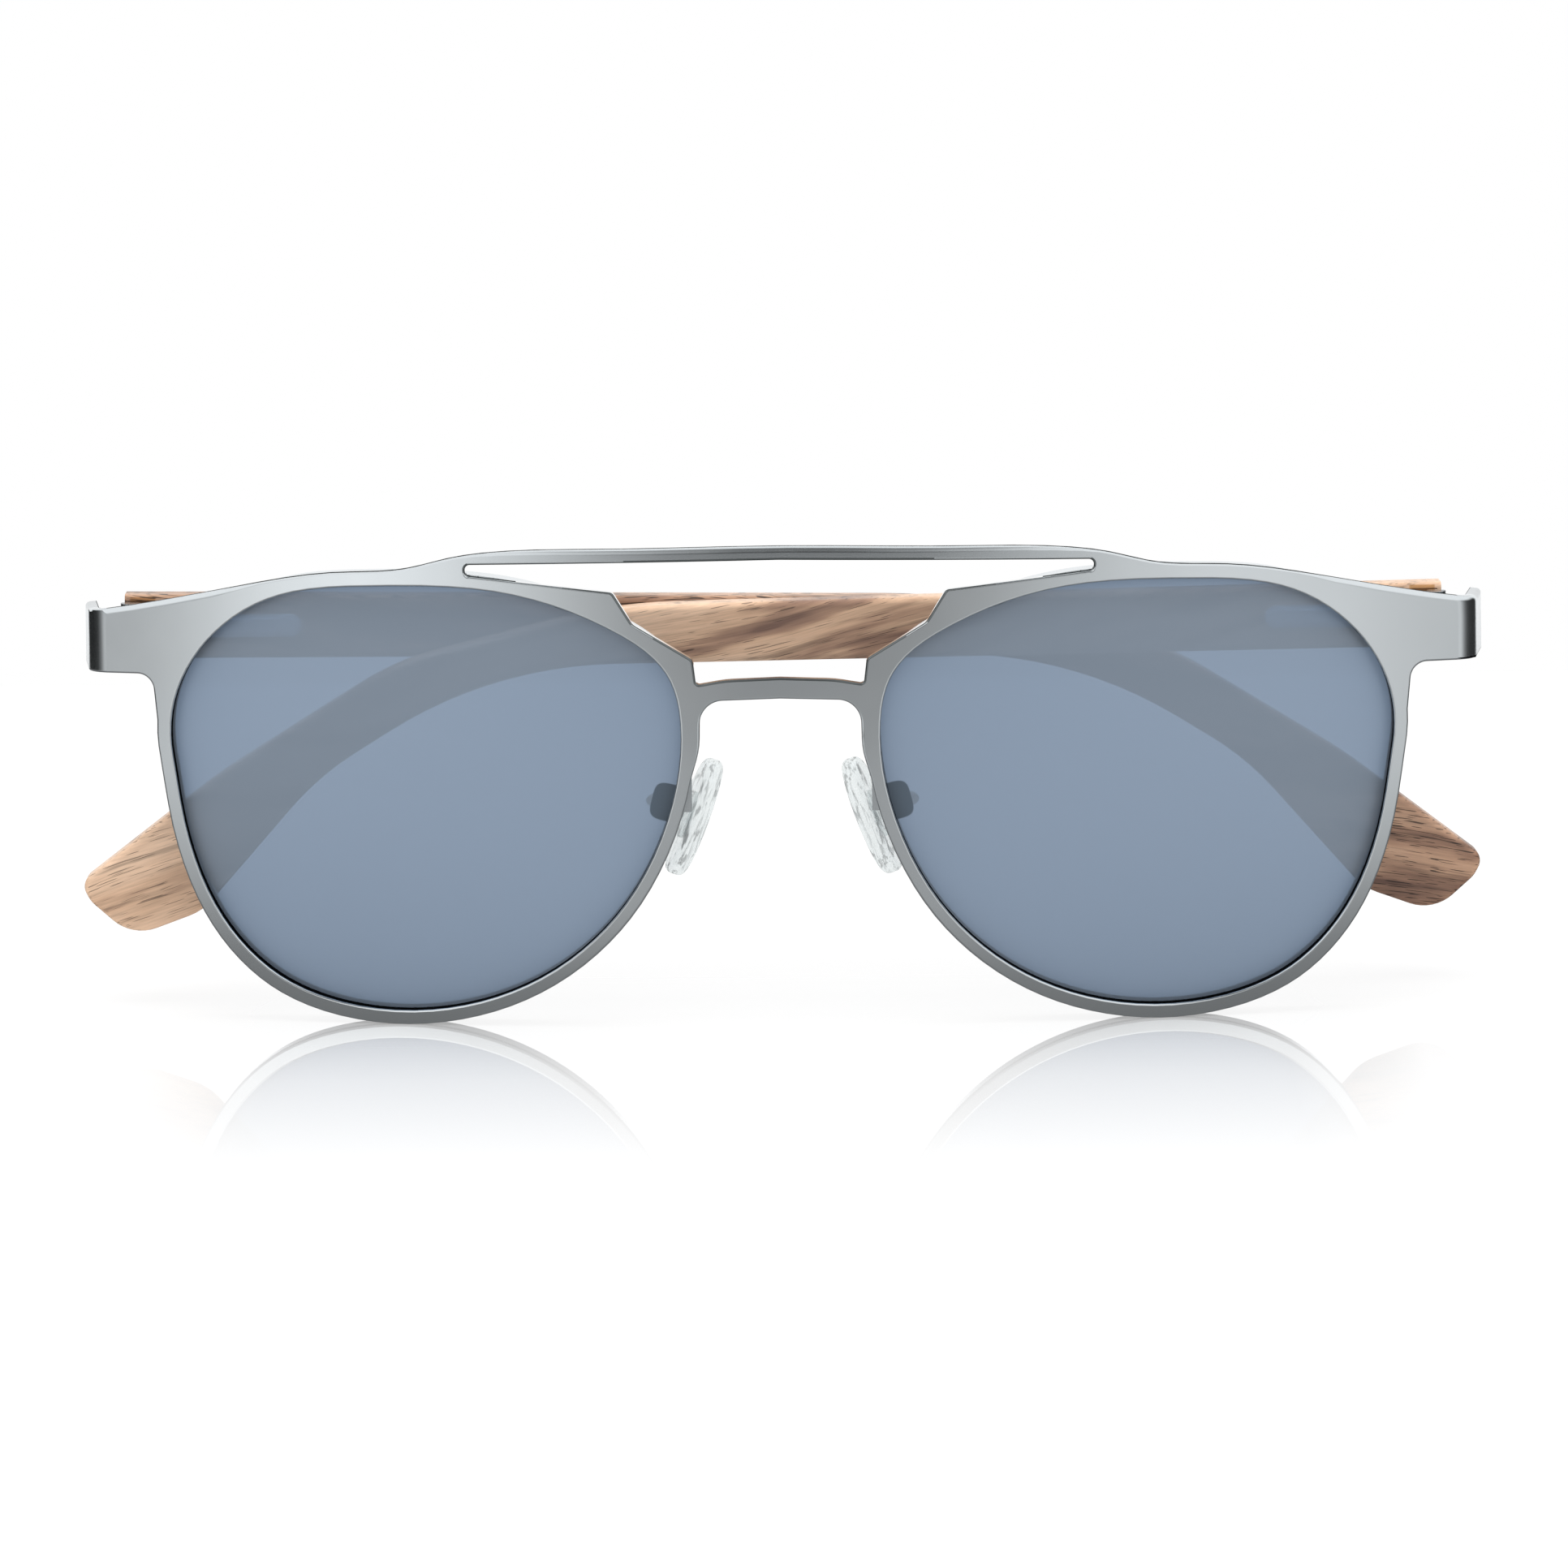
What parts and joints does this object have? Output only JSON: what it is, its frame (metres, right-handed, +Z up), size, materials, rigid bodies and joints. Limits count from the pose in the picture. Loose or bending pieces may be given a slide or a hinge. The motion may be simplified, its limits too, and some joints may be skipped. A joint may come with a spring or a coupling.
{
  "type": "sunglasses",
  "caption": "Folding aviator sunglasses: metal double-bridge front, tinted teardrop lenses, sprung hinges, wooden temples and nose pads on wire arms.",
  "frame": {"origin": "middle of the bridge on the datum line, at mid height of the lenses, on the front surface", "axes": "+X to the wearer's left, +Y back towards the ears, +Z up; the temples are stored folded"},
  "size_m": [0.1454, 0.0286, 0.0491],
  "materials": {
    "frame_metal": "polished",
    "hinge_metal": "satin",
    "steel": "polished",
    "lens_glass": "gloss",
    "wood": "satin",
    "silicone": "translucent",
    "insert_plastic": "satin"
  },
  "bodies": {
    "front": {"front_plate": "frame_metal", "left_lens": "lens_glass", "left_eyewire": "frame_metal", "left_rim_lock_upper": "frame_metal", "left_rim_lock_lower": "frame_metal", "left_rim_lock_screw": "steel", "left_hinge_leaf": "frame_metal", "left_hinge_screw": "steel", "left_pad_arm": "frame_metal", "left_pad_box": "frame_metal", "left_pad_screw": "steel", "right_lens": "lens_glass", "right_eyewire": "frame_metal", "right_rim_lock_upper": "frame_metal", "right_rim_lock_lower": "frame_metal", "right_rim_lock_screw": "steel", "right_hinge_leaf": "frame_metal", "right_hinge_screw": "steel", "right_pad_arm": "frame_metal", "right_pad_box": "frame_metal", "right_pad_screw": "steel"},
    "left_pad": {"left_nose_pad": "silicone", "left_pad_insert": "insert_plastic"},
    "left_hinge_block": {"left_spring_slider": "hinge_metal", "left_spring_pin": "steel"},
    "left_arm": {"left_temple": "wood", "left_spring_housing": "hinge_metal", "left_housing_rivet": "hinge_metal", "left_spring": "steel"},
    "right_pad": {"right_nose_pad": "silicone", "right_pad_insert": "insert_plastic"},
    "right_hinge_block": {"right_spring_slider": "hinge_metal", "right_spring_pin": "steel"},
    "right_arm": {"right_temple": "wood", "right_spring_housing": "hinge_metal", "right_housing_rivet": "hinge_metal", "right_spring": "steel"}
  },
  "joints": [
    {"name": "left_temple_fold", "type": "hinge", "parent": "front", "child": "left_hinge_block", "pos_m": [0.0674, 0.01943, 0.0156], "axis": [0, 0, -1], "range_deg": [0, 94.7]},
    {"name": "left_spring_hinge", "type": "slide", "parent": "left_hinge_block", "child": "left_arm", "axis": [-0.9995, -0.0304, 0], "range_m": [0, 0.0012], "stiffness_N_per_m": 5000, "deforming": ["left_spring"]},
    {"name": "left_pad_rock", "type": "hinge", "parent": "front", "child": "left_pad", "pos_m": [0.01108, 0.00923, -0.00224], "axis": [0.1621, 0.9848, 0.0622], "range_deg": [-8, 8]},
    {"name": "right_temple_fold", "type": "hinge", "parent": "front", "child": "right_hinge_block", "pos_m": [-0.0674, 0.01943, 0.0156], "axis": [0, 0, 1], "range_deg": [0, 91.2]},
    {"name": "right_spring_hinge", "type": "slide", "parent": "right_hinge_block", "child": "right_arm", "axis": [0.9995, 0.0304, 0], "range_m": [0, 0.0012], "stiffness_N_per_m": 5000, "deforming": ["right_spring"]},
    {"name": "right_pad_rock", "type": "hinge", "parent": "front", "child": "right_pad", "pos_m": [-0.01108, 0.00923, -0.00224], "axis": [-0.1621, 0.9848, 0.0622], "range_deg": [-8, 8]}
  ]
}
